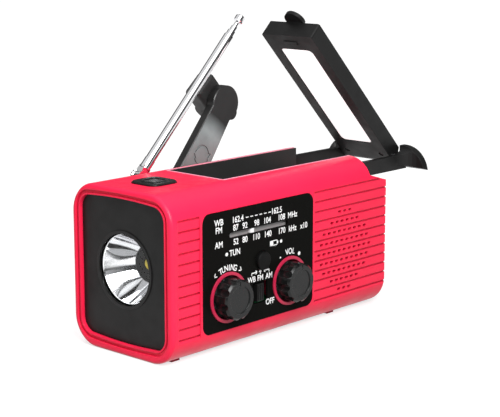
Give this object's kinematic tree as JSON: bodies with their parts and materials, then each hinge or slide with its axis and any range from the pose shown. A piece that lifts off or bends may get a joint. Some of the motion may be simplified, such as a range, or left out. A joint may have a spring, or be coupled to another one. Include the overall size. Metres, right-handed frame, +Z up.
{
  "type": "emergency radio",
  "caption": "Box-shaped portable radio with an end torch, side tuning dial and speaker, fold-out lamp with solar panel, telescopic antenna and rear hand crank.",
  "frame": {"origin": "centre of the casing's flat underside, on the battery door", "axes": "+Z up, the torch end at -X, the dial and speaker at -Y, the crank at +Y"},
  "size_m": [0.1657, 0.0795, 0.1323],
  "materials": {
    "red_plastic": "satin moulded",
    "black_plastic": "fine texture",
    "red_rubber": "matt",
    "steel": "zinc plated",
    "bezel_black": "satin",
    "clear_lens": "polished",
    "chrome": "polished",
    "led_board": "matt",
    "fascia": "glossy",
    "well_red": "satin",
    "knob_grey": "satin",
    "component_grey": "moulded",
    "dial_grey": "satin",
    "pointer_white": "satin",
    "board_green": "solder mask",
    "speaker_paper": "paper",
    "ferrite": "sintered",
    "diffuser": "milky",
    "solar_cell": "glossy resin",
    "bronze": "turned",
    "gear_white": "moulded nylon",
    "battery_wrap": "shrink wrap",
    "black_rubber": "matt"
  },
  "bodies": {
    "casing": {"antenna_pin": "chrome", "band_switch": "black_plastic", "battery_door": "black_plastic", "battery_pack": "battery_wrap", "bay_tray": "black_plastic", "case_screws": "steel", "control_panel": "fascia", "crank_bearing": "bronze", "dial_strip": "dial_grey", "door_screw": "steel", "ferrite_aerial": "ferrite", "foot_pads": "red_rubber", "front_case": "red_plastic", "gearbox_plate": "steel", "generator_case": "steel", "idler_axle": "steel", "knob_wells": "well_red", "light_switch": "component_grey", "main_board": "board_green", "mode_switch": "component_grey", "port_board": "board_green", "rear_case": "red_plastic", "speaker_cone": "speaker_paper", "speaker_frame": "steel", "speaker_magnet": "ferrite", "torch_bezel": "bezel_black", "torch_led": "led_board", "torch_lens": "clear_lens", "torch_panel": "black_plastic", "torch_reflector": "chrome", "tuning_capacitor": "component_grey", "volume_control": "component_grey"},
    "lamp_bracket": {"lamp_bracket": "black_plastic", "hinge_pins": "steel"},
    "lamp": {"lamp_housing": "black_plastic", "lamp_diffuser": "diffuser", "lamp_board": "board_green", "solar_panel": "solar_cell", "lamp_screws": "steel"},
    "tuning_knob": {"tuning_knob": "knob_grey", "tuning_shaft": "steel"},
    "volume_knob": {"volume_knob": "knob_grey", "volume_shaft": "steel"},
    "dial_pointer": {"dial_pointer": "pointer_white"},
    "mode_button": {"mode_button": "black_plastic"},
    "band_slider": {"band_slider": "black_plastic"},
    "light_button": {"light_button": "knob_grey"},
    "crank": {"crank_arm": "black_plastic", "grip_pin": "steel", "crank_shaft": "steel", "crank_wheel": "gear_white"},
    "crank_grip": {"crank_grip": "black_plastic"},
    "idler": {"idler_gear": "gear_white"},
    "generator_rotor": {"generator_pinion": "bronze", "generator_rotor": "ferrite"},
    "port_cover": {"port_cover": "black_rubber"},
    "antenna_1": {"antenna_section_1": "chrome"},
    "antenna_2": {"antenna_section_2": "chrome"},
    "antenna_3": {"antenna_section_3": "chrome"},
    "antenna_4": {"antenna_section_4": "chrome"}
  },
  "joints": [
    {"name": "bracket_slide", "type": "slide", "parent": "casing", "child": "lamp_bracket", "axis": [1, 0, 0], "range_m": [-0.0307, 0]},
    {"name": "lamp_tilt", "type": "hinge", "parent": "lamp_bracket", "child": "lamp", "pos_m": [0.0919, 0, 0.063], "axis": [0, 1, 0], "range_deg": [-45.8, 44.2]},
    {"name": "tuning_turn", "type": "hinge", "parent": "casing", "child": "tuning_knob", "pos_m": [-0.0362, -0.03, 0.0233], "axis": [0, 1, 0], "range_deg": [-170.45, 289]},
    {"name": "pointer_travel", "type": "slide", "parent": "casing", "child": "dial_pointer", "axis": [1, 0, 0], "range_m": [-0.0119, 0.0203]},
    {"name": "volume_turn", "type": "hinge", "parent": "casing", "child": "volume_knob", "pos_m": [0.0009, -0.03, 0.0233], "axis": [0, 1, 0], "range_deg": [-60, 230]},
    {"name": "mode_press", "type": "slide", "parent": "casing", "child": "mode_button", "axis": [0, 1, 0], "range_m": [0, 0.0008], "stiffness_N_per_m": 500},
    {"name": "band_select", "type": "slide", "parent": "casing", "child": "band_slider", "axis": [1, 0, 0], "range_m": [-0.002, 0.002]},
    {"name": "light_press", "type": "slide", "parent": "casing", "child": "light_button", "axis": [0, 0, -1], "range_m": [0, 0.0008], "stiffness_N_per_m": 600},
    {"name": "crank_spin", "type": "hinge", "parent": "casing", "child": "crank", "pos_m": [-0.0194, 0.02, 0.0318], "axis": [0, 1, 0], "continuous": true},
    {"name": "grip_fold", "type": "hinge", "parent": "crank", "child": "crank_grip", "pos_m": [0.02462, 0.0389, 0.09016], "axis": [-0.747, 0, -0.6648], "range_deg": [0, 90]},
    {"name": "idler_spin", "type": "hinge", "parent": "casing", "child": "idler", "pos_m": [0.00378, 0.02, 0.02559], "axis": [0, 1, 0], "continuous": true},
    {"name": "rotor_spin", "type": "hinge", "parent": "casing", "child": "generator_rotor", "pos_m": [0.01938, 0.01, 0.02532], "axis": [0, 1, 0], "continuous": true},
    {"name": "port_cover_hinge", "type": "hinge", "parent": "casing", "child": "port_cover", "pos_m": [0.043, 0.0284, 0.0125], "axis": [-1, 0, 0], "range_deg": [0, 84]},
    {"name": "antenna_tilt", "type": "hinge", "parent": "casing", "child": "antenna_1", "pos_m": [-0.034, 0.0244, 0.0655], "axis": [0, -1, 0], "range_deg": [-45.3, 44.7]},
    {"name": "antenna_pull_2", "type": "slide", "parent": "antenna_1", "child": "antenna_2", "axis": [0.7034, 0, 0.7108], "range_m": [0, 0.062]},
    {"name": "antenna_pull_3", "type": "slide", "parent": "antenna_2", "child": "antenna_3", "axis": [0.7034, 0, 0.7108], "range_m": [0, 0.062]},
    {"name": "antenna_pull_4", "type": "slide", "parent": "antenna_3", "child": "antenna_4", "axis": [0.7034, 0, 0.7108], "range_m": [0, 0.062]}
  ],
  "couplings": [
    {"joint": "pointer_travel", "follows": "tuning_turn", "m_per_rad": 0.004},
    {"joint": "idler_spin", "follows": "crank_spin", "ratio": -4},
    {"joint": "rotor_spin", "follows": "crank_spin", "ratio": 13.333}
  ]
}
